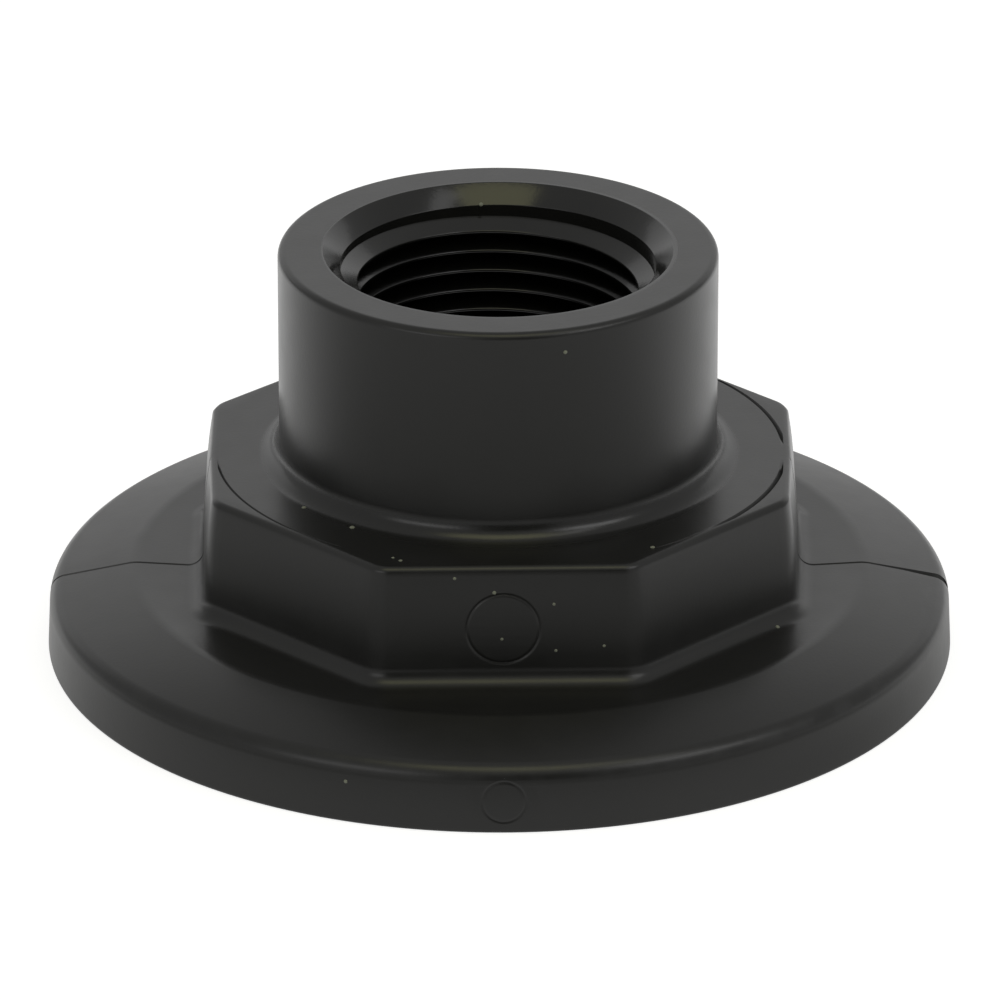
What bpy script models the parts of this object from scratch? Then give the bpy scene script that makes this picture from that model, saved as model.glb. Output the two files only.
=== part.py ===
"""Flange plug: a one-piece moulded fitting that closes a clamped pipe flange and leaves a pipe-thread port.

A round flange with a coned clamping face carries an octagonal wrench hub, and the hub carries a round
boss with the port. The underside is cored so that every wall has about the same thickness, and a shallow
step there seats the gasket. Everything is in metres with +Z up, and the flange's underside lies on Z = 0.
"""

import math

import bmesh
import bpy
from mathutils import Matrix, Vector

MM = 0.001

# Flange: the underside is flat, the rim is upright, and a cone climbs from the rim to a flat face.
FLANGE_DIAMETER = 96.0 * MM
RIM_HEIGHT = 6.5 * MM
RIM_TOP_RADIUS = 2.0 * MM
RIM_BOTTOM_RADIUS = 0.35 * MM
CONE_WIDTH = 9.2 * MM
CONE_ANGLE = math.radians(14.5)

# Octagonal wrench hub, measured across its flats at the top edge.
HUB_SIDES = 8
HUB_ACROSS_FLATS = 60.6 * MM
HUB_HEIGHT = 12.8 * MM
HUB_DRAFT = math.radians(4.3)
HUB_CORNER_RADIUS = 2.6 * MM
HUB_TOP_EDGE_RADIUS = 0.8 * MM
HUB_BASE_FILLET = 1.8 * MM

# Round boss around the port. Its wall is measured over the roots of the thread.
BOSS_HEIGHT = 23.1 * MM
BOSS_WALL = 6.5 * MM
BOSS_EDGE_RADIUS = 0.75 * MM
BOSS_BASE_FILLET = 2.2 * MM

# Port: a one-inch taper pipe thread, drawn here as the cone through its crests.
THREADS_PER_INCH = 11.5
MOUTH_PITCH_DIAMETER = 31.461 * MM
THREAD_DEPTH_IN_PITCHES = 0.8
TAPER_ON_DIAMETER = 1 / 16
FLANK_ANGLE = math.radians(30)
MOUTH_CHAMFER = 1.8 * MM
RUN_IN_LENGTH = 1.4 * MM
PLAIN_BORE_LENGTH = 4.0 * MM

# Underside: the core that lightens the hub, and the step that seats the gasket.
HUB_WALL = 6.7 * MM
HUB_ROOF = 7.2 * MM
CORE_DRAFT = math.radians(1)
CORE_ROOF_FILLET = 3.0 * MM
SEAT_WIDTH = 9.5 * MM
SEAT_DEPTH = 1.6 * MM

# Fineness of the round surfaces.
TURN_STEPS = 96
ARC_STEPS = 5
CORNER_STEPS = 3

# How far hidden faces run past a surface, so that two shapes cross cleanly.
OVERLAP = 0.05 * MM
CUT_CLEARANCE = 2.0 * MM

# Sizes that follow from the driving ones.
FLANGE_RADIUS = FLANGE_DIAMETER / 2
FACE_RADIUS = FLANGE_RADIUS - CONE_WIDTH
FACE_HEIGHT = RIM_HEIGHT + CONE_WIDTH * math.tan(CONE_ANGLE)
HUB_TOP = FACE_HEIGHT + HUB_HEIGHT
BOSS_TOP = HUB_TOP + BOSS_HEIGHT
PITCH = 25.4 * MM / THREADS_PER_INCH
THREAD_DEPTH = THREAD_DEPTH_IN_PITCHES * PITCH
MOUTH_CREST_RADIUS = (MOUTH_PITCH_DIAMETER - THREAD_DEPTH) / 2
MOUTH_ROOT_RADIUS = MOUTH_CREST_RADIUS + THREAD_DEPTH
BOSS_RADIUS = MOUTH_ROOT_RADIUS + BOSS_WALL
HUB_APOTHEM = HUB_ACROSS_FLATS / 2
CORE_RADIUS = HUB_APOTHEM - HUB_WALL
CORE_TOP = HUB_TOP - HUB_ROOF
SEAT_RADIUS = CORE_RADIUS + SEAT_WIDTH


def clear_scene():
    """Remove whatever the scene holds."""
    for obj in list(bpy.data.objects):
        bpy.data.objects.remove(obj, do_unlink=True)


def add_collection(name):
    """Make a collection under the scene's own."""
    collection = bpy.data.collections.new(name)
    bpy.context.scene.collection.children.link(collection)
    return collection


def arc(centre_x, centre_z, radius, start, end, steps=ARC_STEPS):
    """Points along an arc in the XZ plane, with both ends, from one angle in degrees to another."""
    angles = (math.radians(start + (end - start) * i / steps) for i in range(steps + 1))
    return [(centre_x + radius * math.cos(a), centre_z + radius * math.sin(a)) for a in angles]


def crest_radius(height):
    """Radius of the thread's crests at a height: the cone narrows as it goes down."""
    return MOUTH_CREST_RADIUS - (BOSS_TOP - height) * TAPER_ON_DIAMETER / 2


def boss_profile():
    """Outer side of the boss from its top centre down to the foot of its base fillet."""
    foot_x = BOSS_RADIUS + BOSS_BASE_FILLET
    return [
        (0.0, BOSS_TOP),
        *arc(BOSS_RADIUS - BOSS_EDGE_RADIUS, BOSS_TOP - BOSS_EDGE_RADIUS, BOSS_EDGE_RADIUS, 90, 0),
        *arc(foot_x, HUB_TOP - OVERLAP + BOSS_BASE_FILLET, BOSS_BASE_FILLET, 180, 270),
    ]


def flange_profile():
    """Outer side of the flange from its flat face out over the cone and the rim to the centre below."""
    inner_x = BOSS_RADIUS + BOSS_BASE_FILLET
    slope = math.degrees(CONE_ANGLE)
    corner_x = FLANGE_RADIUS - RIM_TOP_RADIUS
    corner_z = RIM_HEIGHT + RIM_TOP_RADIUS * (math.tan(CONE_ANGLE) - 1 / math.cos(CONE_ANGLE))
    return [
        (inner_x, FACE_HEIGHT),
        (FACE_RADIUS, FACE_HEIGHT),
        *arc(corner_x, corner_z, RIM_TOP_RADIUS, 90 - slope, 0),
        *arc(FLANGE_RADIUS - RIM_BOTTOM_RADIUS, RIM_BOTTOM_RADIUS, RIM_BOTTOM_RADIUS, 0, -90, 2),
        (0.0, 0.0),
    ]


def port_profile():
    """Side of the cutter: down through the mouth, the thread's crest cone and the bore, out into the core."""
    chamfer_x = MOUTH_ROOT_RADIUS + MOUTH_CHAMFER
    run_in_end = BOSS_TOP - MOUTH_CHAMFER - RUN_IN_LENGTH
    lead_end = run_in_end - THREAD_DEPTH * math.tan(FLANK_ANGLE)
    thread_end = CORE_TOP + PLAIN_BORE_LENGTH
    core_top_radius = CORE_RADIUS - (CORE_TOP - SEAT_DEPTH) * math.tan(CORE_DRAFT)
    return [
        (0.0, BOSS_TOP + CUT_CLEARANCE),
        (chamfer_x + CUT_CLEARANCE, BOSS_TOP + CUT_CLEARANCE),
        (MOUTH_ROOT_RADIUS, BOSS_TOP - MOUTH_CHAMFER),
        (MOUTH_ROOT_RADIUS, run_in_end),
        (crest_radius(lead_end), lead_end),
        (crest_radius(thread_end), thread_end),
        (crest_radius(thread_end), CORE_TOP),
        *arc(core_top_radius - CORE_ROOF_FILLET, CORE_TOP - CORE_ROOF_FILLET, CORE_ROOF_FILLET, 90, 0),
        (CORE_RADIUS, SEAT_DEPTH),
        (SEAT_RADIUS, SEAT_DEPTH),
        (SEAT_RADIUS, -CUT_CLEARANCE),
        (0.0, -CUT_CLEARANCE),
    ]


def hub_levels():
    """Distance from the axis to a flat, and the height, at each level of the hub from bottom to top."""
    wall_top = HUB_TOP - HUB_TOP_EDGE_RADIUS
    base_apothem = HUB_APOTHEM + HUB_HEIGHT * math.tan(HUB_DRAFT)
    foot_z = FACE_HEIGHT - OVERLAP
    return [
        (base_apothem + HUB_BASE_FILLET, FACE_HEIGHT / 2),
        *reversed(arc(base_apothem + HUB_BASE_FILLET, foot_z + HUB_BASE_FILLET, HUB_BASE_FILLET, 180, 270)),
        *arc(HUB_APOTHEM - HUB_TOP_EDGE_RADIUS, wall_top, HUB_TOP_EDGE_RADIUS, 0, 90, CORNER_STEPS),
    ]


def make_turned(name, profile, collection):
    """A solid of revolution about Z from a profile whose ends lie on the axis."""
    mesh = bpy.data.meshes.new(name)
    vertices = [(x, 0.0, z) for x, z in profile]
    edges = [(i, i + 1) for i in range(len(vertices) - 1)]
    mesh.from_pydata(vertices, edges, [])
    turned = bpy.data.objects.new(name, mesh)
    collection.objects.link(turned)
    screw = turned.modifiers.new("turn", "SCREW")
    screw.axis = "Z"
    screw.angle = math.tau
    screw.steps = TURN_STEPS
    screw.render_steps = TURN_STEPS
    screw.use_merge_vertices = True
    screw.merge_threshold = 0.00001
    return turned


def make_hub(collection):
    """The octagon: a ring with rounded corners, extruded level by level and scaled to follow the levels."""
    levels = hub_levels()
    first_apothem, first_z = levels[0]
    half_side_angle = math.pi / HUB_SIDES
    bm = bmesh.new()
    bmesh.ops.create_circle(
        bm,
        cap_ends=True,
        segments=HUB_SIDES,
        radius=first_apothem / math.cos(half_side_angle),
        matrix=Matrix.Translation((0, 0, first_z)) @ Matrix.Rotation(half_side_angle, 4, "Z"),
    )
    bmesh.ops.bevel(
        bm,
        geom=bm.verts[:],
        offset=HUB_CORNER_RADIUS * math.tan(half_side_angle),
        segments=CORNER_STEPS,
        profile=0.5,
        affect="VERTICES",
    )
    bottom = bm.faces[:]
    cap = bottom
    for (apothem, z), (next_apothem, next_z) in zip(levels, levels[1:]):
        grown = bmesh.ops.extrude_face_region(bm, geom=cap)
        if cap is not bottom:
            bmesh.ops.delete(bm, geom=cap, context="FACES_ONLY")
        cap_vertices = [item for item in grown["geom"] if isinstance(item, bmesh.types.BMVert)]
        factor = next_apothem / apothem
        bmesh.ops.scale(bm, vec=Vector((factor, factor, 1)), verts=cap_vertices)
        bmesh.ops.translate(bm, vec=Vector((0, 0, next_z - z)), verts=cap_vertices)
        cap = [item for item in grown["geom"] if isinstance(item, bmesh.types.BMFace)]
    bmesh.ops.recalc_face_normals(bm, faces=bm.faces)
    mesh = bpy.data.meshes.new("hub")
    bm.to_mesh(mesh)
    bm.free()
    hub = bpy.data.objects.new("hub", mesh)
    collection.objects.link(hub)
    return hub


def add_boolean(target, other, operation):
    """Join another solid to the target, or cut it away, and show the other one as a helper only."""
    boolean = target.modifiers.new(other.name, "BOOLEAN")
    boolean.operation = operation
    boolean.solver = "EXACT"
    boolean.object = other
    other.hide_render = True
    other.display_type = "WIRE"


def apply_modifiers(obj):
    """Replace the object's mesh with the one that its modifiers make, shaded smooth between sharp edges."""
    graph = bpy.context.evaluated_depsgraph_get()
    mesh = bpy.data.meshes.new_from_object(obj.evaluated_get(graph))
    mesh.name = obj.name
    obj.modifiers.clear()
    obj.data = mesh
    mesh.shade_smooth()
    mesh.set_sharp_from_angle(angle=math.radians(25))


def moulded_black():
    """Glass-filled polypropylene, moulded black with a satin surface."""
    material = bpy.data.materials.new("moulded_black")
    material.use_nodes = True
    shader = material.node_tree.nodes["Principled BSDF"]
    shader.inputs["Base Color"].default_value = (0.012, 0.012, 0.011, 1.0)
    shader.inputs["Roughness"].default_value = 0.38
    shader.inputs["Metallic"].default_value = 0.0
    return material


def main():
    clear_scene()
    part = add_collection("flange_plug")
    helpers = add_collection("helpers")
    body = make_turned("plug_body", boss_profile() + flange_profile(), part)
    hub = make_hub(helpers)
    port = make_turned("port_cutter", port_profile(), helpers)
    add_boolean(body, hub, "UNION")
    add_boolean(body, port, "DIFFERENCE")
    bpy.context.view_layer.update()
    apply_modifiers(body)
    body.data.materials.clear()
    body.data.materials.append(moulded_black())


if __name__ == "__main__":
    main()
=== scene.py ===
"""Studio scene of a flange plug, a one-piece black moulding with a threaded pipe port.

The moulding is one closed skin. Its round stretches are spun profiles, its octagonal hub is a ring that
is extruded level by level, and its thread is a toothed line that is spun down a helix.
"""

import logging
import math
from dataclasses import dataclass
from enum import Enum
from typing import Any, Iterable, Sequence

import bmesh
import bpy
from bmesh.types import BMEdge, BMesh, BMVert
from mathutils import Matrix, Vector
from mathutils.bvhtree import BVHTree

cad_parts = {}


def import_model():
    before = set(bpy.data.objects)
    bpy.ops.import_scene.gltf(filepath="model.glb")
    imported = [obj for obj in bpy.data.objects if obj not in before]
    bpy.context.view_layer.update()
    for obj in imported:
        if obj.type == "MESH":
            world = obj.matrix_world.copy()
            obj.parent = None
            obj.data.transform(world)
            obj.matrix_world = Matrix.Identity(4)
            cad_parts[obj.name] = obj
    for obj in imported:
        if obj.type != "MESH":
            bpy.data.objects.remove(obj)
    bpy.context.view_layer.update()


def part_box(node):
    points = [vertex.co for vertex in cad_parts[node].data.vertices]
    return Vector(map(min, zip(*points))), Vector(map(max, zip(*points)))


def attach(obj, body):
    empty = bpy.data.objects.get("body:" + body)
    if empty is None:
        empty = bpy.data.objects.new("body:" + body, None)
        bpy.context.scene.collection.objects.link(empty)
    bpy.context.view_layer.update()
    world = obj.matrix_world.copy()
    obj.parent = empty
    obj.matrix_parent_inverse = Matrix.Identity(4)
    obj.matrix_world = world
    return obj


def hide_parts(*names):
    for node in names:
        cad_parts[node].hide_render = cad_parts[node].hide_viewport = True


LOG = logging.getLogger("flange_plug")

MM = 0.001
NODE = "plug_body"
BODY = "root"

# Columns around the axis. It divides by eight, so each flat of the hub gets a whole number.
COLUMNS = 240
MERGE_DISTANCE = 0.002 * MM
CUT_DISTANCE = 0.005 * MM

SHARP_ANGLE = math.radians(32)

Point = tuple[float, float]
Point3 = tuple[float, float, float]
Rgba = tuple[float, float, float, float]


def arc(centre: Point, radius: float, start: float, end: float, steps: int) -> list[Point]:
    """Points along an arc in the profile plane, with both ends.

    Args:
        centre: Distance from the axis and height of the arc's centre.
        radius: Radius of the arc.
        start: First angle in degrees, from outward towards up.
        end: Last angle in degrees.
        steps: Number of chords.

    Returns:
        Pairs of distance from the axis and height.
    """
    angles = (math.radians(start + (end - start) * i / steps) for i in range(steps + 1))
    return [(centre[0] + radius * math.cos(a), centre[1] + radius * math.sin(a)) for a in angles]


def ease(value: float) -> float:
    """A smooth step from 0 to 1 as the value goes from 0 to 1."""
    clipped = min(1.0, max(0.0, value))
    return clipped * clipped * (3 - 2 * clipped)


@dataclass
class Flange:
    """The round flange: flat face, coned clamping band and upright rim."""

    radius: float
    rim_height: float = 6.5 * MM
    rim_top_radius: float = 2.0 * MM
    rim_lean: float = 0.2 * MM
    rim_bottom_radius: float = 0.35 * MM
    cone_width: float = 9.2 * MM
    cone_angle: float = math.radians(14.5)
    face_blend: float = 5.0 * MM
    hold: float = 0.15 * MM

    @property
    def face_radius(self) -> float:
        """Radius at which the flat face would meet the cone."""
        return self.radius - self.cone_width

    @property
    def face_height(self) -> float:
        """Height of the flat face above the underside."""
        return self.rim_height + self.cone_width * math.tan(self.cone_angle)

    @property
    def inner_radius(self) -> float:
        """Radius at which the spun flange meets the faces around the hub."""
        return self.face_radius - self.face_blend * math.tan(self.cone_angle / 2) - self.hold

    def profile(self) -> list[Point]:
        """The flange's skin from the underside's outer edge over the rim and the cone to the flat face.

        Returns:
            Profile points, from the bottom outwards, up and inwards.
        """
        slope = math.degrees(self.cone_angle)
        drop = self.rim_top_radius * (1 / math.cos(self.cone_angle) - math.tan(self.cone_angle))
        corner = (self.radius - self.rim_lean - self.rim_top_radius, self.rim_height - drop)
        bottom = (self.radius - self.rim_bottom_radius, self.rim_bottom_radius)
        blend_x = self.face_radius - self.face_blend * math.tan(self.cone_angle / 2)
        blend = (blend_x, self.face_height - self.face_blend)
        wall_hold = (self.radius, self.rim_bottom_radius + self.hold)
        return [
            (bottom[0] - self.hold, 0.0),
            *arc(bottom, self.rim_bottom_radius, -90, 0, 5),
            wall_hold,
            (self.radius - self.rim_lean, corner[1] - self.hold),
            *arc(corner, self.rim_top_radius, 0, 90 - slope, 10),
            *arc(blend, self.face_blend, 90 - slope, 90, 6),
            (self.inner_radius, self.face_height),
        ]


@dataclass
class Underside:
    """What is hidden below: the gasket step, the core and the plain bore under the thread."""

    core_radius: float
    core_top: float
    bore_radius: float
    bore_top: float
    core_draft: float = math.radians(1)
    roof_fillet: float = 3.0 * MM
    seat_width: float = 9.5 * MM
    seat_depth: float = 1.6 * MM
    edge: float = 0.25 * MM
    hold: float = 0.1 * MM

    def profile(self) -> list[Point]:
        """The skin from the bore's top end down through the core and out to the underside's flat land.

        Returns:
            Profile points, from the bore downwards and outwards.
        """
        roof_x = self.core_radius - (self.core_top - self.seat_depth) * math.tan(self.core_draft)
        fillet = (roof_x - self.roof_fillet, self.core_top - self.roof_fillet)
        seat_x = self.core_radius + self.seat_width
        edge = self.edge
        return [
            (self.bore_radius, self.bore_top),
            (self.bore_radius, self.core_top + edge + self.hold),
            *arc((self.bore_radius + edge, self.core_top + edge), edge, 180, 270, 4),
            (self.bore_radius + edge + self.hold, self.core_top),
            (fillet[0] - self.hold, self.core_top),
            *arc(fillet, self.roof_fillet, 90, 0, 8),
            (self.core_radius, self.seat_depth + edge + self.hold),
            *arc((self.core_radius + edge, self.seat_depth + edge), edge, 180, 270, 4),
            (self.core_radius + edge + self.hold, self.seat_depth),
            (seat_x - self.hold, self.seat_depth),
            (seat_x, self.seat_depth),
            (seat_x, edge + self.hold),
            *arc((seat_x + edge, edge), edge, 180, 270, 4),
            (seat_x + edge + self.hold, 0.0),
        ]


@dataclass
class Boss:
    """The round boss and the mouth of the port."""

    radius: float
    top: float
    foot: float
    wall_top: float
    wall_radius: float
    mouth_radius: float
    edge_radius: float = 0.75 * MM
    base_fillet: float = 2.2 * MM
    mouth_edge: float = 0.14 * MM
    hold: float = 0.12 * MM

    @property
    def foot_radius(self) -> float:
        """Radius at which the spun boss meets the hub's top face."""
        return self.radius + self.base_fillet + self.hold

    def profile(self) -> list[Point]:
        """The skin from the run-in wall over the chamfer and the end face down to the base fillet's foot.

        Returns:
            Profile points, from inside the mouth outwards and down.
        """
        edge = self.mouth_edge
        tangent = edge * math.tan(math.radians(22.5))
        chamfer_low = self.top - (self.mouth_radius - self.wall_radius)
        low = (self.wall_radius + edge, chamfer_low - tangent)
        high = (self.mouth_radius + tangent, self.top - edge)
        corner = (self.radius - self.edge_radius, self.top - self.edge_radius)
        foot = (self.radius + self.base_fillet, self.foot + self.base_fillet)
        return [
            (self.wall_radius, self.wall_top),
            *arc(low, edge, 180, 135, 3),
            *arc(high, edge, 135, 90, 3),
            (high[0] + self.hold, self.top),
            (corner[0] - self.hold, self.top),
            *arc(corner, self.edge_radius, 90, 0, 8),
            (self.radius, corner[1] - self.hold),
            (self.radius, foot[1] + self.hold),
            *arc(foot, self.base_fillet, 180, 270, 10),
            (self.foot_radius, self.foot),
        ]


@dataclass
class PipeThread:
    """The internal taper thread: a right-hand helix that narrows as it goes down."""

    top: float
    threads_per_inch: float = 11.5
    mouth_pitch_diameter: float = 31.461 * MM
    depth_in_pitches: float = 0.8
    flank_angle: float = math.radians(30)
    crest_radius_in_pitches: float = 0.08
    crest_steps: int = 4
    taper: float = 1 / 32
    first_crest_depth: float = 4.21 * MM
    start_turn: float = -0.72
    fade_turns: float = 0.10
    end_fade_turns: float = 0.35

    @property
    def pitch(self) -> float:
        """Height of one turn."""
        return 25.4 * MM / self.threads_per_inch

    @property
    def depth(self) -> float:
        """Radial distance from crest to root."""
        return self.depth_in_pitches * self.pitch

    def crest_radius(self, height: float) -> float:
        """Radius over the crests at a height."""
        mouth = (self.mouth_pitch_diameter - self.depth) / 2
        return mouth - (self.top - height) * self.taper

    def root_radius(self, height: float) -> float:
        """Radius over the roots at a height."""
        return self.crest_radius(height) + self.depth

    def tooth(self) -> list[Point]:
        """Rows of one pitch, from its root down past its rounded crest to just above the next root.

        Returns:
            Pairs of the distance below the crest in pitches and the share of the depth, 1 at the root.
        """
        end = math.pi / 2 - self.flank_angle
        rows = [(-0.5, 1.0)]
        for step in range(-self.crest_steps, self.crest_steps + 1):
            angle = end * step / self.crest_steps
            drop = self.crest_radius_in_pitches * (1 - math.cos(angle))
            rows.append((self.crest_radius_in_pitches * math.sin(angle), drop / self.depth_in_pitches))
        return rows

    def skin(self, upper: float, lower: float) -> bpy.types.Mesh:
        """Spin the toothed line down the helix and press its ends flat.

        Args:
            upper: Height at which the thread's wall ends above.
            lower: Height at which the plain bore takes over below.

        Returns:
            The thread's surface.
        """
        bm = bmesh.new()
        crest_z = self.top - self.first_crest_depth
        first = -math.ceil((upper - crest_z) / self.pitch) - 2
        last = math.ceil((crest_z - lower) / self.pitch) + 1
        rows = [(n + share, height) for n in range(first, last + 1) for share, height in self.tooth()]
        layer = bm.verts.layers.float.new("tooth")
        line = [bm.verts.new((0.0, 1.0, crest_z - turn * self.pitch)) for turn, _ in rows]
        edges = [bm.edges.new(pair) for pair in zip(line, line[1:])]
        for vert, (_, share) in zip(line, rows):
            vert[layer] = share
        bmesh.ops.spin(
            bm,
            geom=line + edges,
            cent=(0, 0, 0),
            axis=(0, 0, 1),
            dvec=(0, 0, -self.pitch / COLUMNS),
            angle=-math.tau,
            steps=COLUMNS,
            use_merge=False,
        )
        for vert in bm.verts:
            self.place(vert, vert[layer], crest_z, upper, lower)
        bm.verts.layers.float.remove(layer)
        return as_mesh(bm)

    def place(self, vert: BMVert, share: float, crest_z: float, upper: float, lower: float) -> None:
        """Move one point of the spun sheet to the thread's real radius.

        Args:
            vert: Point on the unit cylinder.
            share: Share of the depth that the point has in a full tooth.
            crest_z: Height of the first crest at the back.
            upper: Height at which the wall ends above.
            lower: Height at which the plain bore takes over.
        """
        angle = math.atan2(vert.co.x, vert.co.y) / math.tau
        height = vert.co.z
        along = (crest_z - height) / self.pitch
        turn = round(along - angle) + angle
        start = ease((turn - self.start_turn) / self.fade_turns)
        share = 1 - (1 - share) * start
        last_turn = (crest_z - lower) / self.pitch - 0.5
        share *= 1 - ease((turn - last_turn) / self.end_fade_turns + 1)
        height = min(upper, max(lower, height))
        radius = self.crest_radius(height) + self.depth * share
        across = Vector((vert.co.x, vert.co.y)).normalized() * radius
        vert.co = (across.x, across.y, height)


@dataclass
class WrenchHub:
    """The octagonal hub, whose two mould halves don't quite agree.

    The flats' distances from the axis are given at the height of the top face, and skew is how far each
    is turned from its true direction. Both start with the +X flat and go on counter-clockwise. Each flat
    that the parting line crosses leans in towards the front. The draft is spent near the top, so the walls
    stand almost upright below.
    """

    top: float
    foot: float
    inner_radius: float
    outer_radius: float
    reach: tuple[float, ...] = tuple(d * MM for d in (30.9, 30.8, 30.4, 30.5, 30.67, 30.52, 29.95, 30.65))
    skew: tuple[float, ...] = tuple(math.radians(a) for a in (0, 0, 0, 0, 0, 1.2, 1.4, 0.2))
    front_lean: float = 0.52 * MM
    lean_length: float = 13.0 * MM
    draft: float = math.radians(4.3)
    wall_curve: float = 2.2
    wall_steps: int = 12
    wall_crowding: float = 1.5
    front_corner_radius: float = 2.6 * MM
    back_corner_radius: float = 3.4 * MM
    top_edge: float = 0.8 * MM
    base_fillet: float = 1.8 * MM
    witness_radius: float = 30.0 * MM
    witness_shift: float = 0.13 * MM
    witness_front: float = 0.28 * MM
    witness_front_share: tuple[float, float] = (1.6, 0.3)
    witness_width: float = 0.14 * MM
    witness_depth: float = 0.20 * MM
    witness_gap: float = 0.03 * MM
    witness_least_spread: float = 0.3
    witness_heading: float = math.radians(-35)
    witness_gain: float = 0.9
    front_fade: tuple[float, float] = (-0.86, 0.16)
    back_fade: tuple[float, float] = (0.3, 0.2)
    back_heading: float = math.radians(45)
    side_normal: float = 0.99
    corner_steps: int = 6
    hold: float = 0.12 * MM

    @property
    def sides(self) -> int:
        """Number of flats."""
        return len(self.reach)

    def corner(self, index: int) -> tuple[float, float, float]:
        """Where the insides of two neighbouring flats' top edges would meet.

        Args:
            index: Number of the first of the two flats.

        Returns:
            The corner's place at the height of the top face.
        """
        following = (index + 1) % self.sides
        start = math.tau * index / self.sides + self.skew[index]
        end = math.tau * (index + 1) / self.sides + self.skew[following]
        first, second = self.reach[index], self.reach[following]
        if index == self.sides // 2:
            first -= self.front_lean
        if index == self.sides - 1:
            second -= self.front_lean
        first, second = first - self.top_edge, second - self.top_edge
        x = (first * math.sin(end) - second * math.sin(start)) / math.sin(end - start)
        y = (second * math.cos(start) - first * math.cos(end)) / math.sin(end - start)
        return (x, y, self.top)

    def first_ring(self, bm: BMesh) -> list[BMVert]:
        """The rounded octagon in which the top face meets the top edge's rounding.

        Args:
            bm: Empty mesh that takes the ring.

        Returns:
            The ring's points in order, from the +X side on.
        """
        half = math.pi / self.sides
        bmesh.ops.create_circle(
            bm,
            cap_ends=True,
            segments=self.sides,
            radius=self.reach[0],
            matrix=Matrix.Rotation(half, 4, "Z"),
        )
        for index, vert in enumerate(in_order(bm.verts)):
            vert.co = self.corner(index)
        for radius, is_back in ((self.front_corner_radius, False), (self.back_corner_radius, True)):
            bmesh.ops.bevel(
                bm,
                geom=[v for v in bm.verts if (v.co.y > 0) == is_back],
                offset=(radius - self.top_edge) * math.tan(half),
                segments=self.corner_steps,
                profile=0.5,
                affect="VERTICES",
                material=-1,
            )
        bmesh.ops.delete(bm, geom=bm.faces[:], context="FACES_ONLY")
        longest = sorted(bm.edges, key=lambda e: e.calc_length(), reverse=True)[: self.sides]
        cuts = COLUMNS // self.sides - self.corner_steps - 1
        bmesh.ops.subdivide_edges(bm, edges=longest, cuts=cuts)
        ring = in_order(bm.verts)
        leaning = [v for index, v in enumerate(ring) if abs(ring_normal(ring, index).x) > self.side_normal]
        for vert in leaning:
            flat = self.reach[0] if vert.co.x > 0 else self.reach[self.sides // 2]
            lean = self.front_lean * min(1.0, max(0.0, -vert.co.y / self.lean_length))
            vert.co.x = math.copysign(flat - self.top_edge - lean, vert.co.x)
        return ring

    def levels(self) -> list[Point]:
        """How far each level stands out from the first ring, and its height.

        Returns:
            Levels from the top edge down the wall to the foot of the base fillet.
        """
        edge = self.top_edge
        wall_top = self.top - edge
        base_z = self.foot + self.base_fillet
        base_out = edge + (wall_top - base_z) * math.tan(self.draft)
        fillet = arc((base_out + self.base_fillet, base_z), self.base_fillet, 180, 270, 10)
        wall = []
        for step in range(1, self.wall_steps):
            share = (step / self.wall_steps) ** self.wall_crowding
            out = edge + (base_out - edge) * (1 - (1 - share) ** self.wall_curve)
            wall.append((out, wall_top + (base_z - wall_top) * share))
        return [
            *arc((0.0, wall_top), edge, 90, 15, 6)[1:],
            *wall,
            *fillet,
            (base_out + self.base_fillet + self.hold, self.foot),
        ]

    def skin(self) -> bpy.types.Mesh:
        """Grow the hub's skin from its top face to the foot of its base fillet.

        Returns:
            The hub's surface, open at the boss and at the flange.
        """
        bm = bmesh.new()
        first = self.first_ring(bm)
        outlines = [ring_normal(first, i) for i in range(len(first))]
        start = [v.co.copy() for v in first]
        ring = first
        for out, height in self.levels():
            ring = grow_ring(bm, ring)
            for vert, origin, normal in zip(ring, start, outlines):
                vert.co = (origin.x + normal.x * out, origin.y + normal.y * out, height)
        self.end_on_circle(bm, ring, self.outer_radius, self.foot)
        self.add_witness_line(bm, first)
        return as_mesh(bm)

    def add_witness_line(self, bm: BMesh, first: list[BMVert]) -> None:
        """Sink the fine circle that the mould's round insert leaves across the hub's corners.

        Args:
            bm: Mesh that takes the line.
            first: The ring in which the top face meets the top edge.
        """
        ring = first
        scale, start = self.witness_front_share
        for side, sink, gaps in ((1.0, 0.0, 1), (0.0, 1.0, 2), (-1.0, 0.0, 3)):
            ring = grow_ring(bm, ring)
            for vert, origin in zip(ring, first):
                strength = self.witness_strength(origin.co)
                reach = Vector((origin.co.x, origin.co.y)).length
                circle = self.witness_radius + self.witness_shift * origin.co.x / reach
                circle -= self.witness_front * ease(-scale * origin.co.y / reach - start)
                spread = self.witness_width * max(strength, self.witness_least_spread)
                inside = min(1 - gaps * self.witness_gap / reach, (circle + side * spread) / reach)
                depth = sink * self.witness_depth * strength
                depth *= ease((reach - circle) / self.witness_width)
                vert.co = (origin.co.x * inside, origin.co.y * inside, self.top - depth)
        ring = grow_ring(bm, ring)
        for vert in ring:
            factor = 1 - self.hold / Vector((vert.co.x, vert.co.y)).length
            vert.co = (vert.co.x * factor, vert.co.y * factor, self.top)
        self.end_on_circle(bm, ring, self.inner_radius, self.top)

    def witness_strength(self, place: Vector) -> float:
        """How strongly the circle shows in a place's direction.

        Args:
            place: A point of the first ring.

        Returns:
            Nearly 2 at the front right, about 1 at the left, and 0 at the front and at the back left.
        """
        heading = math.atan2(place.y, place.x)
        strength = 1.0 + self.witness_gain * ease(math.cos(heading - self.witness_heading))
        start, width = self.front_fade
        strength *= ease((math.sin(heading) - start) / width)
        start, width = self.back_fade
        faded_back = ease((math.cos(heading - self.back_heading) - start) / width)
        return strength * (faded_back if heading > 0 else 1.0)

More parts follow.
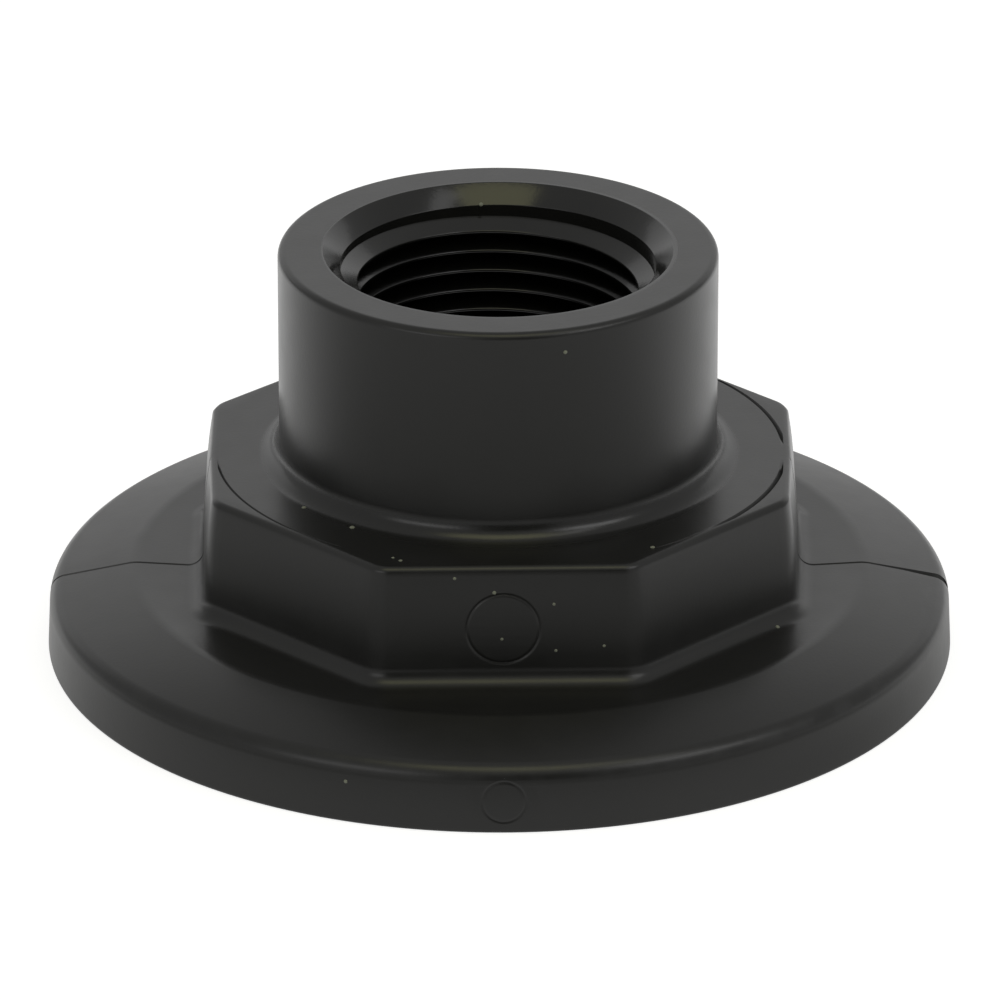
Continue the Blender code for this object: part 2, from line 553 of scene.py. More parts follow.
    @staticmethod
    def end_on_circle(bm: BMesh, ring: Sequence[BMVert], radius: float, height: float) -> None:
        """Let a ring's last band end on the circle of a spun stretch, column by column.

        Args:
            bm: The mesh.
            ring: The ring's points in order, from the +X side on.
            radius: Radius of the circle.
            height: Height of the circle.
        """
        for column, vert in enumerate(grow_ring(bm, ring)):
            angle = math.tau * column / COLUMNS
            vert.co = (radius * math.cos(angle), radius * math.sin(angle), height)


def in_order(points: Iterable[BMVert]) -> list[BMVert]:
    """Points sorted counter-clockwise, from the +X axis on."""
    return sorted(points, key=lambda v: (math.atan2(v.co.y, v.co.x) + 0.001) % math.tau)


def ring_normal(ring: Sequence[BMVert], index: int) -> Vector:
    """Outward direction of a flat, counter-clockwise ring at one of its points."""
    along = ring[(index + 1) % len(ring)].co - ring[index - 1].co
    return Vector((along.y, -along.x)).normalized()


def ring_edges(ring: Sequence[BMVert]) -> list[BMEdge]:
    """The edges that join a ring's points in order."""
    edges = []
    for vert, other in zip(ring, [*ring[1:], ring[0]]):
        edges.append(next(e for e in vert.link_edges if other in e.verts))
    return edges


def grow_ring(bm: BMesh, ring: Sequence[BMVert]) -> list[BMVert]:
    """Extrude a ring of edges into a band.

    Args:
        bm: The mesh.
        ring: The ring's points in order.

    Returns:
        The points of the new ring, in the same order.
    """
    grown = bmesh.ops.extrude_edge_only(bm, edges=ring_edges(ring))
    fresh = {item for item in grown["geom"] if isinstance(item, BMVert)}
    return [next(e.other_vert(v) for e in v.link_edges if e.other_vert(v) in fresh) for v in ring]


def as_mesh(bm: BMesh, name: str = "stretch") -> bpy.types.Mesh:
    """Turn a BMesh into a mesh and let go of it."""
    mesh = bpy.data.meshes.new(name)
    bm.to_mesh(mesh)
    bm.free()
    return mesh


def as_object(bm: BMesh, name: str, material: bpy.types.Material) -> bpy.types.Object:
    """Turn a BMesh into an object of the scene and let go of it.

    Args:
        bm: The finished mesh.
        name: Name of the object and of its mesh.
        material: Its only material.

    Returns:
        The object, unturned and unscaled at the origin.
    """
    mesh = as_mesh(bm, name)
    mesh.materials.append(material)
    made = bpy.data.objects.new(name, mesh)
    bpy.context.scene.collection.objects.link(made)
    return made


def turned(profile: Iterable[Point]) -> bpy.types.Mesh:
    """Spin a profile round the axis.

    Args:
        profile: Pairs of distance from the axis and height.

    Returns:
        The turned surface.
    """
    bm = bmesh.new()
    line = [bm.verts.new((x, 0.0, z)) for x, z in profile]
    edges = [bm.edges.new(pair) for pair in zip(line, line[1:])]
    bmesh.ops.spin(
        bm,
        geom=line + edges,
        cent=(0, 0, 0),
        axis=(0, 0, 1),
        angle=math.tau,
        steps=COLUMNS,
        use_merge=True,
    )
    return as_mesh(bm)


def cut_patch(bm: BMesh, patch: Iterable[Any], planes: Iterable[tuple[Point3, Point3]]) -> list[BMVert]:
    """Cut a patch of faces along several planes.

    Args:
        bm: The mesh.
        patch: The faces to cut.
        planes: A point on each plane and its normal.

    Returns:
        The patch's points afterwards.
    """
    parts = list({item for face in patch for item in (face, *face.edges, *face.verts)})
    for place, normal in planes:
        cut = bmesh.ops.bisect_plane(bm, geom=parts, dist=CUT_DISTANCE, plane_co=place, plane_no=normal)
        parts = cut["geom"]
    bm.normal_update()
    return [item for item in parts if isinstance(item, BMVert)]


@dataclass
class PartingLine:
    """The fine groove where the mould's two halves met, across the flange and up the hub's two sides.

    On each side it lies a little in front of the middle at the hub and runs out to the middle at the rim.
    At the right its edges have chipped off where it crosses the rim's upper edge.
    """

    top: float
    start: float = 29.2 * MM
    hub_x: float = 31.0 * MM
    hub_y: float = -1.35 * MM
    slope: float = 0.13
    half_width: float = 0.20 * MM
    depth: float = 0.34 * MM
    chip_start: float = 44.0 * MM
    chip_length: float = 3.8 * MM
    chip_depth: float = 1.6 * MM
    chip_width: float = 0.48 * MM
    chip_foot: float = 3.7 * MM
    chip_fade: float = 2.4 * MM
    underside: float = 0.2 * MM
    top_fade: float = 1.2 * MM
    patch_width: float = 3.0 * MM

    def press_into(self, bm: BMesh) -> None:
        """Cut the mesh along the line and sink its middle.

        Args:
            bm: The moulding.
        """
        for side in (-1.0, 1.0):
            patch = [f for f in bm.faces if self.is_crossed(f.calc_center_median(), side)]
            planes = [
                ((side * self.hub_x, self.hub_y + offset, 0.0), (-side * self.slope, 1.0, 0.0))
                for offset in (-self.half_width, 0.0, self.half_width)
            ]
            verts = cut_patch(bm, patch, planes)
            close = [v for v in verts if abs(self.offset(v.co, side)) < 1.2 * self.half_width]
            moves = [(v, self.move(v, side)) for v in close if self.is_crossed(v.co, side)]
            for vert, move in moves:
                vert.co += move

    def offset(self, place: Vector, side: float) -> float:
        """How far behind the line a place lies."""
        return place.y - self.hub_y - self.slope * (side * place.x - self.hub_x)

    def is_crossed(self, place: Vector, side: float) -> bool:
        """Whether a place lies near the line, on one side of the part."""
        near = side * place.x > self.start and abs(self.offset(place, side)) < self.patch_width
        return near and self.underside < place.z < self.top

    def move(self, vert: BMVert, side: float) -> Vector:
        """How a point close to the line moves: the middle sinks, and the chip at the right rim opens."""
        chip = ease((vert.co.x - self.chip_start) / self.chip_length)
        chip *= ease((vert.co.z - self.chip_foot) / self.chip_fade)
        offset = self.offset(vert.co, side)
        if abs(offset) < 0.2 * self.half_width:
            below_top = ease((self.top - vert.co.z) / self.top_fade)
            return vert.normal * -(self.depth * below_top + chip * self.chip_depth)
        return Vector((0, math.copysign(chip * self.chip_width, offset), 0))


@dataclass
class PinMark:
    """The ring that an ejector pin leaves: a fine round groove in a patch of finer mesh."""

    x: float
    z: float
    radius: float
    wall: float
    groove: float = 0.22 * MM
    depth: float = 0.10 * MM
    margin: float = 0.4 * MM
    step: float = 0.09 * MM

    def press_into(self, bm: BMesh) -> None:
        """Refine the patch and sink the ring.

        Args:
            bm: The moulding.
        """
        reach = self.radius + self.margin
        cuts = math.ceil(2 * reach / self.step)
        steps = [2 * reach * i / cuts - reach for i in range(cuts + 1)]
        upright = [((self.x + step, 0.0, 0.0), (1.0, 0.0, 0.0)) for step in steps]
        level = [((0.0, 0.0, self.z + step), (0.0, 0.0, 1.0)) for step in steps]
        verts = cut_patch(bm, [f for f in bm.faces if self.holds(f)], upright + level)
        moves = [(v, v.normal * -self.depth * self.share(v.co)) for v in verts]
        for vert, move in moves:
            vert.co += move

    def share(self, place: Vector) -> float:
        """Share of the full depth at a place on the wall."""
        distance = math.hypot(place.x - self.x, place.z - self.z)
        return 1 - ease(abs(distance - self.radius) / self.groove)

    def holds(self, face: Any) -> bool:
        """Whether a face lies on the marked wall and reaches into the patch."""
        if face.normal.y > -0.5 or max(v.co.y for v in face.verts) > self.wall:
            return False
        reach = self.radius + self.margin
        xs = [v.co.x for v in face.verts]
        zs = [v.co.z for v in face.verts]
        across = min(xs) < self.x + reach and max(xs) > self.x - reach
        return across and min(zs) < self.z + reach and max(zs) > self.z - reach


class Moulding:
    """The whole plug as one closed skin, worked out from the frame's box and the mould's own sizes."""

    def __init__(self) -> None:
        """Take the flange's radius and the height from the frame, and the rest from those."""
        low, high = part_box(NODE)
        self.flange = Flange(radius=high[0])
        hub_height = 12.8 * MM
        boss_wall = 6.5 * MM
        mouth_wall = 1.8 * MM
        mouth_depth = 2.1 * MM
        roof = 7.2 * MM
        plain_bore = 4.0 * MM
        hub_top = self.flange.face_height + hub_height
        self.thread = PipeThread(top=high[2])
        root = self.thread.root_radius(high[2])
        wall_top = high[2] - mouth_depth
        self.boss = Boss(
            radius=root + boss_wall,
            top=high[2],
            foot=hub_top,
            wall_top=wall_top,
            wall_radius=self.thread.root_radius(wall_top),
            mouth_radius=root + mouth_wall,
        )
        self.hub = WrenchHub(
            top=hub_top,
            foot=self.flange.face_height,
            inner_radius=self.boss.foot_radius,
            outer_radius=self.flange.inner_radius,
        )
        core_top = hub_top - roof
        bore_top = core_top + plain_bore
        self.underside = Underside(
            core_radius=23.6 * MM,
            core_top=core_top,
            bore_radius=self.thread.crest_radius(bore_top),
            bore_top=bore_top,
        )
        self.core_shift = -0.14 * MM
        self.shift_margin = 0.2 * MM
        self.shift_rise = 2.0 * MM
        self.front_lift = 0.45 * MM
        self.lift_inner = self.flange.inner_radius - 3 * MM
        self.lift_outer = self.flange.face_radius + 2 * MM
        self.parting_line = PartingLine(top=hub_top - 0.1 * MM)
        self.pin_marks = (
            PinMark(x=0.39 * MM, z=14.96 * MM, radius=3.75 * MM, wall=-29.4 * MM),
            PinMark(x=0.47 * MM, z=3.5 * MM, radius=2.2 * MM, wall=-47.0 * MM, depth=0.07 * MM),
        )

    def shift_core(self, bm: BMesh) -> None:
        """Move the boss and its port a hair to the left, as the mould's core sat.

        Args:
            bm: The moulding.
        """
        limit = self.boss.foot_radius + self.shift_margin
        low, high = self.underside.core_top, self.underside.bore_top + self.shift_rise
        for vert in bm.verts:
            if math.hypot(vert.co.x, vert.co.y) < limit:
                vert.co.x += self.core_shift * ease((vert.co.z - low) / (high - low))

    def lift_front(self, bm: BMesh) -> None:
        """Let the front of the rim stand a hair higher, as the moulding has warped.

        Args:
            bm: The moulding.
        """
        width = self.lift_outer - self.lift_inner
        for vert in bm.verts:
            reach = math.hypot(vert.co.x, vert.co.y)
            if reach > self.lift_inner and vert.co.z > 0:
                share = ease((reach - self.lift_inner) / width) * ease(-vert.co.y / reach)
                vert.co.z += self.front_lift * share * min(1.0, vert.co.z / self.flange.rim_height)

    def build(self) -> bpy.types.Object:
        """Join the skin's stretches into one closed mesh.

        Returns:
            The finished object, linked to the scene.
        """
        stretches = (
            self.hub.skin(),
            self.thread.skin(self.boss.wall_top, self.underside.bore_top),
            turned(self.boss.profile()),
            turned(self.underside.profile() + self.flange.profile()),
        )
        bm = bmesh.new()
        for stretch in stretches:
            bm.from_mesh(stretch)
            bpy.data.meshes.remove(stretch)
        bmesh.ops.remove_doubles(bm, verts=bm.verts, dist=MERGE_DISTANCE)
        bmesh.ops.recalc_face_normals(bm, faces=bm.faces)
        self.shift_core(bm)
        self.lift_front(bm)
        self.parting_line.press_into(bm)
        for mark in self.pin_marks:
            mark.press_into(bm)
        open_edges = sum(1 for e in bm.edges if not e.is_manifold)
        LOG.info("moulding: %d faces, %d open edges", len(bm.faces), open_edges)
        moulding = as_object(bm, "plug_moulding", MouldedBlack().material())
        moulding.data.shade_smooth()
        moulding.data.set_sharp_from_angle(angle=SHARP_ANGLE)
        return moulding


class Signal:
    """A shader socket that takes part in Python arithmetic."""

    def __init__(self, desk: "NodeDesk", socket: bpy.types.NodeSocket) -> None:
        """Wrap an output socket of a node on the desk."""
        self.desk = desk
        self.socket = socket

    def _math(self, operation: str, *values: "Signal | float") -> "Signal":
        """Add a Math node."""
        node = self.desk.make("ShaderNodeMath", {"operation": operation}, dict(enumerate(values)))
        return self.desk.out(node)

    def __add__(self, other: "Signal | float") -> "Signal":
        """Sum."""
        return self._math("ADD", self, other)

    __radd__ = __add__

    def __mul__(self, other: "Signal | float") -> "Signal":
        """Product."""
        return self._math("MULTIPLY", self, other)

    __rmul__ = __mul__

    def __sub__(self, other: "Signal | float") -> "Signal":
        """Difference."""
        return self._math("SUBTRACT", self, other)

    def __rsub__(self, other: float) -> "Signal":
        """Difference with the signal on the right."""
        return self._math("SUBTRACT", other, self)

    def __lt__(self, other: "Signal | float") -> "Signal":
        """1 where the signal is the smaller."""
        return self._math("LESS_THAN", self, other)

    def __gt__(self, other: "Signal | float") -> "Signal":
        """1 where the signal is the greater."""
        return self._math("GREATER_THAN", self, other)

    def band(self, low: float, high: float) -> "Signal":
        """A smooth step from 0 to 1 as the signal goes from low to high."""
        settings = {"interpolation_type": "SMOOTHSTEP"}
        inputs = {"Value": self, "From Min": low, "From Max": high}
        return self.desk.out(self.desk.make("ShaderNodeMapRange", settings, inputs))


class NodeDesk:
    """Makes and links the nodes of one material or world."""

    def __init__(self, tree: bpy.types.NodeTree) -> None:
        """Start from an empty tree."""
        self.tree = tree
        tree.nodes.clear()

    def make(self, kind: str, settings: dict[str, Any], inputs: dict[Any, Any]) -> bpy.types.Node:
        """Add a node.

        Args:
            kind: The node's type.
            settings: Its properties, which are set before its sockets.
            inputs: Values, signals or sockets by input name or number.

        Returns:
            The new node.
        """
        node = self.tree.nodes.new(kind)
        for name, value in settings.items():
            setattr(node, name, value)
        for key, value in inputs.items():
            source = value.socket if isinstance(value, Signal) else value
            if isinstance(source, bpy.types.NodeSocket):
                self.tree.links.new(source, node.inputs[key])
            else:
                node.inputs[key].default_value = source
        return node

    def out(self, node: bpy.types.Node, name: str | int = 0) -> Signal:
        """One output of a node as a signal."""
        return Signal(self, node.outputs[name])

    def mix(self, share: Signal, first: Signal | Rgba, second: Signal | Rgba) -> Signal:
        """A blend of two colours."""
        node = self.make("ShaderNodeMix", {"data_type": "RGBA"}, {0: share, 6: first, 7: second})
        return self.out(node, 2)

    def noise(self, place: Signal, scale: float, detail: float) -> Signal:
        """A noise of a given fineness over the given coordinates."""
        inputs = {"Vector": place, "Scale": scale, "Detail": detail}
        return self.out(self.make("ShaderNodeTexNoise", {}, inputs))


class Spot:
    """Where the shaded point lies in the object's own coordinates."""

    def __init__(self, desk: NodeDesk) -> None:
        """Read the coordinates, and the square of the distance from the axis."""
        self.place = desk.out(desk.make("ShaderNodeTexCoord", {}, {}), "Object")
        axes = desk.make("ShaderNodeSeparateXYZ", {}, {0: self.place})
        self.x, self.y, self.z = (desk.out(axes, name) for name in "XYZ")
        self.reach = self.x * self.x + self.y * self.y


def new_material(name: str) -> tuple[bpy.types.Material, NodeDesk]:
    """An empty node material and the desk that fills it."""
    material = bpy.data.materials.new(name)
    material.use_nodes = True
    return material, NodeDesk(material.node_tree)


def gray(level: float) -> Rgba:
    """An opaque gray."""
    return (level, level, level, 1.0)


@dataclass(frozen=True)
class MouldedBlack:
    """Black glass-filled plastic as it comes from the mould: satin, a little uneven, rubbed pale at the rim's
    upper edge, where the pale colour is partly a painted highlight.

    The mould was polished finer in the port and around the boss's foot. The port is also painted darker, as
    shade in its hollow.
    """

    name: str = "moulded_black"
    deep: Rgba = (0.0085, 0.0085, 0.0079, 1.0)
    pale: Rgba = (0.0145, 0.0145, 0.0134, 1.0)
    # Painted shade: the darker colour that the port takes between its floor and its ceiling, for the shade in
    # the thread's hollow.
    core: Rgba = (0.0020, 0.0020, 0.0018, 1.0)
    # Pale colour of the rubbed rim edge and of the scuffs; along the rim edge it is also a painted highlight.
    pale_wear_and_sheen: Rgba = (0.075, 0.077, 0.080, 1.0)
    roughness: float = 0.32
    worn_roughness: float = 0.10
    port_roughness: float = 0.16
    port_radius: float = 18.7 * MM
    port_floor: float = 24.0 * MM
    port_ceiling: float = 39.6 * MM
    fillet_roughness: float = 0.23
    fillet_inner: float = 22.9 * MM
    fillet_outer: float = 25.6 * MM
    fillet_edge: float = 0.7 * MM
    fillet_low: float = 21.0 * MM
    fillet_fade: tuple[float, float] = (22.2 * MM, 24.4 * MM)
    rim_radius: float = 46.6 * MM
    rim_width: float = 0.9 * MM
    rim_low: float = 5.6 * MM
    rim_rise: float = 0.7 * MM
    rim_gaps: tuple[float, float] = (0.42, 0.66)
    rim_left_share: float = 0.35
    rim_right_x: float = 24.0 * MM
    rim_wear_and_sheen: float = 0.15
    scuff_x: float = 43.0 * MM
    scuff_width: float = 3.0 * MM
    scuff_wear: float = 0.3
    streak_gaps: tuple[float, float] = (0.56, 0.74)
    streak_stretch: Point3 = (1.0, 0.25, 1.0)
    cloud_share: float = 0.6
    roughness_swing: float = 0.08
    cloud_scale: float = 60.0
    patch_scale: float = 350.0
    grain_scale: float = 2600.0
    streak_scale: float = 420.0
    grain_height: float = 0.015 * MM

    def material(self) -> bpy.types.Material:
        """Build the material.

        Returns:
            The material, ready for a mesh's slot.
        """
        material, desk = new_material(self.name)
        spot = Spot(desk)
        cloud = desk.noise(spot.place, self.cloud_scale, 3.0)
        patch = desk.noise(spot.place, self.patch_scale, 4.0)
        grain = desk.noise(spot.place, self.grain_scale, 3.0)
        in_port = (spot.reach < self.port_radius**2) * (spot.z > self.port_floor)
        wear_and_sheen = self.wear_and_sheen(desk, spot, patch)
        mottle = cloud * self.cloud_share + patch * (1 - self.cloud_share)
        color = desk.mix(mottle, self.deep, self.pale)
        # Painted shade: the port is painted darker between its floor and its ceiling.
        color = desk.mix(in_port * (spot.z < self.port_ceiling), color, self.core)
        # Pale paint of the rubbed rim edge, which is also a painted highlight there, and of the scuffs.
        color = desk.mix(wear_and_sheen, color, self.pale_wear_and_sheen)
        rough = (patch - 0.5) * self.roughness_swing + self.roughness + wear_and_sheen * self.worn_roughness
        rough = rough * (1 - in_port) + in_port * self.port_roughness
        rough = rough + self.in_fillet(spot) * (self.fillet_roughness - self.roughness)
        bump = desk.make(
            "ShaderNodeBump",
            {},
            {"Strength": 0.5, "Distance": self.grain_height, "Height": grain},
        )
        shader = desk.make(
            "ShaderNodeBsdfPrincipled",
            {},
            {"Base Color": color, "Roughness": rough, "Normal": bump.outputs[0], "Metallic": 0.0, "IOR": 1.5},
        )
        desk.make("ShaderNodeOutputMaterial", {}, {"Surface": shader.outputs[0]})
        return material

    def in_fillet(self, spot: Spot) -> Signal:
        """How far a place belongs to the glossier fillet around the boss's foot."""
        outside = (spot.reach > self.fillet_inner**2) * (spot.z > self.fillet_low)
        inside = 1 - spot.reach.band((self.fillet_outer - self.fillet_edge) ** 2, self.fillet_outer**2)
        return outside * (1 - spot.z.band(*self.fillet_fade)) * inside

    def wear_and_sheen(self, desk: NodeDesk, spot: Spot, patch: Signal) -> Signal:
        """How far the plastic is painted pale: along the rim's upper edge, where it is rubbed and where the
        pale also serves as a painted highlight, stronger to the right, and in streaks at the right, which are
        scuffs.

        Args:
            desk: The desk that takes the nodes.
            spot: Where the shaded point lies.
            patch: The noise that breaks the pale marks up.

        Returns:
            0 where the plastic is as moulded, up to about 1 on the rubbed rim edge with its painted highlight
            and on the scuffs.
        """
        # Rubbing and painted highlight: the rim's upper edge is painted pale where its highlight falls.
        edge = spot.reach.band(self.rim_radius**2, (self.rim_radius + self.rim_width) ** 2)
        edge = edge * spot.z.band(self.rim_low, self.rim_low + self.rim_rise)
        # Painted highlight: stronger to the right, where the rim edge's highlight is brighter.
        to_right = spot.x.band(0.0, self.rim_right_x) * (1 - self.rim_left_share)
        broken = patch.band(*self.rim_gaps) * (to_right + self.rim_left_share)
        stretch = {0: spot.place, 1: self.streak_stretch}
        along = desk.make("ShaderNodeVectorMath", {"operation": "MULTIPLY"}, stretch)
        streak = desk.noise(desk.out(along), self.streak_scale, 3.0).band(*self.streak_gaps)
        scuffed = spot.x.band(self.scuff_x, self.scuff_x + self.scuff_width) * (spot.y < 0.0) * streak
        return edge * broken * self.rim_wear_and_sheen + scuffed * self.scuff_wear


@dataclass(frozen=True)
class Grain:
    """A grain of dust, placed as the camera sees it: across and up from the point that it aims at."""

    across: float
    up: float
    radius: float


@dataclass(frozen=True)
class Dust:
    """The pale grains that lie on the plug."""

    grains: tuple[Grain, ...] = (
        Grain(-20.7 * MM, -0.8 * MM, 0.26 * MM),
        Grain(-15.6 * MM, -2.9 * MM, 0.29 * MM),
        Grain(-10.5 * MM, -6.4 * MM, 0.22 * MM),
        Grain(-11.3 * MM, -6.1 * MM, 0.18 * MM),
        Grain(16.1 * MM, -5.0 * MM, 0.26 * MM),
        Grain(-2.0 * MM, 31.2 * MM, 0.24 * MM),
        Grain(6.9 * MM, 15.6 * MM, 0.22 * MM),
        Grain(29.3 * MM, -13.4 * MM, 0.24 * MM),
        Grain(-16.3 * MM, -29.7 * MM, 0.21 * MM),
        Grain(-4.8 * MM, -8.3 * MM, 0.18 * MM),
        Grain(-0.6 * MM, -9.8 * MM, 0.21 * MM),
        Grain(5.7 * MM, -11.0 * MM, 0.17 * MM),
        Grain(5.9 * MM, -15.9 * MM, 0.17 * MM),
        Grain(11.0 * MM, -15.4 * MM, 0.17 * MM),
        Grain(0.2 * MM, -14.7 * MM, 0.17 * MM),
    )
    flatness: float = 0.45
    color: Rgba = (0.20, 0.21, 0.16, 1.0)

    def build(self, moulding: bpy.types.Object, studio: "Studio") -> bpy.types.Object:
        """Settle the grains on the moulding.

        Args:
            moulding: The finished plug.
            studio: Knows where the camera stands.

        Returns:
            The grains as one object.
        """
        skin = bmesh.new()
        skin.from_mesh(moulding.data)
        tree = BVHTree.FromBMesh(skin)
        bm = bmesh.new()
        for grain in self.grains:
            place, normal, _, _ = tree.ray_cast(*studio.sight_line(grain.across, grain.up))
            lie = normal.to_track_quat("Z", "Y").to_matrix().to_4x4()
            squash = Matrix.Diagonal((1.0, 1.0, self.flatness, 1.0))
            matrix = Matrix.Translation(place) @ lie @ squash
            bmesh.ops.create_icosphere(bm, subdivisions=2, radius=grain.radius, matrix=matrix)
        skin.free()
        grains = as_object(bm, "dust_grains", self.material())
        grains.data.shade_smooth()
        LOG.info("dust: %d grains", len(self.grains))
        return grains

    def material(self) -> bpy.types.Material:
        """Dull, pale dust."""
        material, desk = new_material("dust")
        dull = {"Base Color": self.color, "Roughness": 0.9, "Metallic": 0.0}
        shader = desk.make("ShaderNodeBsdfPrincipled", {}, dull)
        desk.make("ShaderNodeOutputMaterial", {}, {"Surface": shader.outputs[0]})
        return material


@dataclass(frozen=True)
class StudioFloor:
    """The pale table that the plug stands on, with the plug's soft shadow painted around it.

    Lengths are in metres. For every ray but the camera's the table glows as painted light, more towards the
    back and the right, and a painted shadow dims it close to the plug: in front of it and, under the rim,
    beside it.
    """

    size: float = 6.0
    seen_glow: float = 0.8
    seen_paint: float = 0.5
    paint: float = 0.25
    near_glow: float = 0.46
    far_glow: float = 1.04
    near_y: float = -0.09
    far_y: float = 0.12
    right_share: float = 0.2
    shade: float = 0.75
    shade_reach: tuple[float, float, float, float] = (0.056, 0.068, 0.082, 0.100)
    front_band: tuple[float, float] = (-0.03, 0.02)
    side_band: tuple[float, float] = (0.022, 0.046)
    rim_band: float = 0.86
    beside_right: float = 0.34
    beside_left: float = 0.10

    def build(self) -> bpy.types.Object:
        """Lay the floor.

        Returns:
            The floor object.
        """
        bm = bmesh.new()
        bmesh.ops.create_grid(bm, x_segments=1, y_segments=1, size=self.size / 2)
        floor = as_object(bm, "studio_floor", self.material())
        return floor

    def glow(self, desk: NodeDesk) -> Signal:
        """The colour of the table's glow, as every ray but the camera's meets it: painted light with the
        plug's painted shadow.
        """
        spot = Spot(desk)
        # Painted light: the table glows brighter towards the back and the right.
        ramp = (spot.y + spot.x * self.right_share).band(self.near_y, self.far_y)
        start, dark, lighter, end = (reach**2 for reach in self.shade_reach)
        in_front = 1 - spot.y.band(*self.front_band)
        # Painted shadow of the plug: a ring of the table in front of it is dimmed.
        shade = spot.reach.band(start, dark) * (1 - spot.reach.band(lighter, end)) * in_front * self.shade
        beside = spot.x.band(*self.side_band) * self.beside_right
        beside = beside + (0 - spot.x).band(*self.side_band) * self.beside_left
        # Painted shadow beside the rim, stronger on the right.
        shade = shade + (1 - spot.reach.band(start * self.rim_band, start)) * beside
        return desk.mix(shade, desk.mix(ramp, gray(self.near_glow), gray(self.far_glow)), gray(0.0))

    def material(self) -> bpy.types.Material:
        """White for the camera with the plug's shadow kept, and for every other ray pale paint with a glow of
        painted light and painted shadow.

        Returns:
            The floor's material.
        """
        material, desk = new_material("studio_floor")
        path = desk.make("ShaderNodeLightPath", {}, {})
        paint = desk.make(
            "ShaderNodeBsdfPrincipled",
            {},
            {
                "Base Color": gray(self.paint),
                "Roughness": 1.0,
                "Specular IOR Level": 0.0,
                "Emission Color": self.glow(desk),
                "Emission Strength": 1.0,
            },
        )
        soft = desk.make("ShaderNodeBsdfDiffuse", {}, {"Color": gray(self.seen_paint)})
        glow = desk.make("ShaderNodeEmission", {}, {"Strength": self.seen_glow})
        seen = desk.make("ShaderNodeAddShader", {}, {0: soft.outputs[0], 1: glow.outputs[0]})
        mix = desk.make(
            "ShaderNodeMixShader",
            {},
            {0: path.outputs["Is Camera Ray"], 1: paint.outputs[0], 2: seen.outputs[0]},
        )
        desk.make("ShaderNodeOutputMaterial", {}, {"Surface": mix.outputs[0]})
        return material


@dataclass(frozen=True)
class DarkPanel:
    """The dark panel behind the camera, which the plug mirrors and the camera doesn't see."""

    width: float = 0.9
    height: float = 0.9
    middle_x: float = 0.22
    y: float = -1.25
    clearance: float = 0.01
    shade: float = 0.03

    def build(self) -> bpy.types.Object:
        """Stand the panel up.

        Returns:
            The panel.
        """
        bm = bmesh.new()
        bmesh.ops.create_grid(bm, x_segments=1, y_segments=1, size=0.5)
        bmesh.ops.scale(bm, vec=(self.width, self.height, 1.0), verts=bm.verts)
        bmesh.ops.rotate(bm, cent=(0, 0, 0), matrix=Matrix.Rotation(math.pi / 2, 3, "X"), verts=bm.verts)
        middle = (self.middle_x, self.y, self.height / 2 + self.clearance)
        bmesh.ops.translate(bm, vec=middle, verts=bm.verts)
        material, desk = new_material("dark_panel")
        dull = desk.make("ShaderNodeBsdfDiffuse", {}, {"Color": gray(self.shade)})
        desk.make("ShaderNodeOutputMaterial", {}, {"Surface": dull.outputs[0]})
        panel = as_object(bm, "dark_panel", material)
        panel.visible_camera = False
        return panel


class LampPlace(Enum):
    """Where each softbox stands: position in metres."""

    ABOVE = (0.01, -0.40, 0.92)
    ABOVE_RIGHT = (0.45, -0.29, 0.90)
    FRONT_LEFT = (-0.62, -0.82, 0.43)
    FRONT_RIGHT = (0.65, -0.45, 0.70)
    BEHIND = (0.0, 1.50, 0.66)


@dataclass(frozen=True)
class Softbox:
    """A rectangular area lamp that faces the plug."""

    place: LampPlace
    glow: float
    width: float
    height: float
    color: Point3 = (1.0, 1.0, 1.0)

    def build(self) -> bpy.types.Object:
        """Hang the lamp.

        Returns:
            The lamp object.
        """
        data = bpy.data.lights.new(f"softbox_{self.place.name.lower()}", "AREA")
        data.shape = "RECTANGLE"
        data.size = self.width
        data.size_y = self.height
        data.energy = self.glow * math.pi * self.width * self.height
        data.color = self.color
        lamp = bpy.data.objects.new(data.name, data)
        lamp.location = self.place.value
        aim = Vector((0, 0, 0.02)) - lamp.location
        lamp.rotation_euler = aim.to_track_quat("-Z", "Y").to_euler()
        lamp.visible_camera = False
        bpy.context.scene.collection.objects.link(lamp)
        return lamp


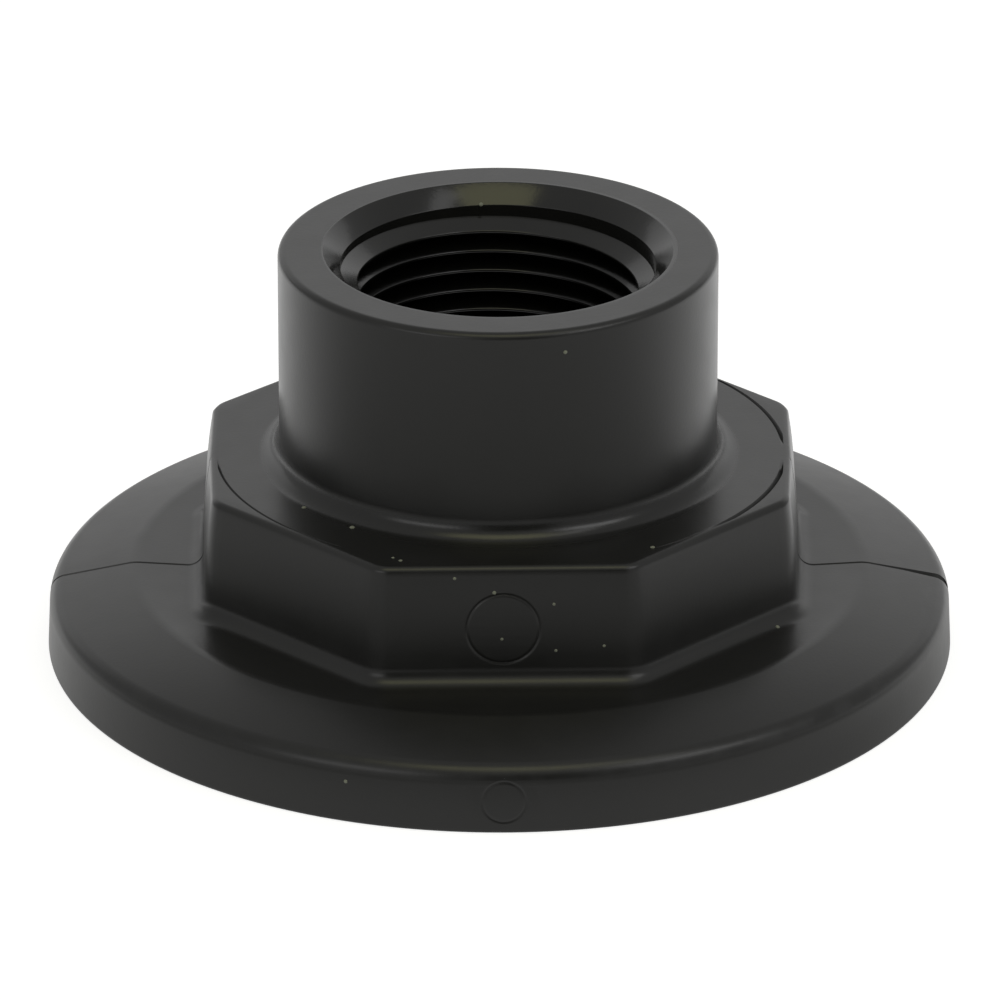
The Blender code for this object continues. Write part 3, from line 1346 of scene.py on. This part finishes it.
@dataclass(frozen=True)
class Studio:
    """Lamps, world and camera."""

    lamps: tuple[Softbox, ...] = (
        Softbox(LampPlace.ABOVE, 1.1, 0.60, 0.40, (1.0, 0.98, 0.50)),
        Softbox(LampPlace.ABOVE_RIGHT, 1.1, 0.20, 0.30),
        Softbox(LampPlace.FRONT_LEFT, 1.5, 0.60, 0.22),
        Softbox(LampPlace.FRONT_RIGHT, 2.3, 0.55, 0.22),
        Softbox(LampPlace.BEHIND, 0.43, 3.2, 0.9),
    )
    world_strength: float = 0.42
    camera_distance: float = 1.028
    camera_elevation: float = math.radians(23.54)
    camera_dip: float = math.radians(24.018)
    aim_height: float = 25.32 * MM
    side_step: float = 0.061 * MM
    lens: float = 350.6

    def build(self) -> None:
        """Set up everything around the plug."""
        for lamp in self.lamps:
            lamp.build()
        self.add_world()
        self.add_camera()
        bpy.context.scene.view_settings.view_transform = "Standard"

    def add_world(self) -> None:
        """A plain white room: full white to the camera, softer as light."""
        world = bpy.data.worlds.new("studio")
        world.use_nodes = True
        desk = NodeDesk(world.node_tree)
        path = desk.make("ShaderNodeLightPath", {}, {})
        lit = desk.make("ShaderNodeBackground", {}, {"Color": gray(1.0), "Strength": self.world_strength})
        white = desk.make("ShaderNodeBackground", {}, {"Color": gray(1.0), "Strength": 1.0})
        mix = desk.make(
            "ShaderNodeMixShader",
            {},
            {0: path.outputs["Is Camera Ray"], 1: lit.outputs[0], 2: white.outputs[0]},
        )
        desk.make("ShaderNodeOutputWorld", {}, {"Surface": mix.outputs[0]})
        bpy.context.scene.world = world

    @property
    def camera_place(self) -> Vector:
        """Where the camera stands."""
        across = self.camera_distance * math.cos(self.camera_elevation)
        rise = self.camera_distance * math.sin(self.camera_elevation)
        return Vector((self.side_step, -across, self.aim_height + rise))

    def sight_line(self, across: float, up: float) -> tuple[Vector, Vector]:
        """The camera's line of sight through a point of the plane that it aims at.

        Args:
            across: How far right of the aim the point lies.
            up: How far above the aim the point lies, as the camera sees it.

        Returns:
            Where the line starts and its direction.
        """
        turn = Matrix.Rotation(math.pi / 2 - self.camera_dip, 3, "X")
        return self.camera_place, (turn @ Vector((across, up, -self.camera_distance))).normalized()

    def add_camera(self) -> None:
        """The photograph's camera: in front, looking down on the flange."""
        data = bpy.data.cameras.new("camera")
        data.lens = self.lens
        data.sensor_width = 36.0
        camera = bpy.data.objects.new("camera", data)
        camera.location = self.camera_place
        camera.rotation_euler = (math.pi / 2 - self.camera_dip, 0, 0)
        bpy.context.scene.collection.objects.link(camera)
        bpy.context.scene.camera = camera


def main() -> None:
    """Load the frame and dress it."""
    logging.basicConfig(level=logging.INFO, format="%(message)s")
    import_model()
    moulding = Moulding().build()
    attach(moulding, BODY)
    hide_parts(NODE)
    studio = Studio()
    dust = Dust().build(moulding, studio)
    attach(dust, BODY)
    StudioFloor().build()
    DarkPanel().build()
    studio.build()


if __name__ == "__main__":
    main()
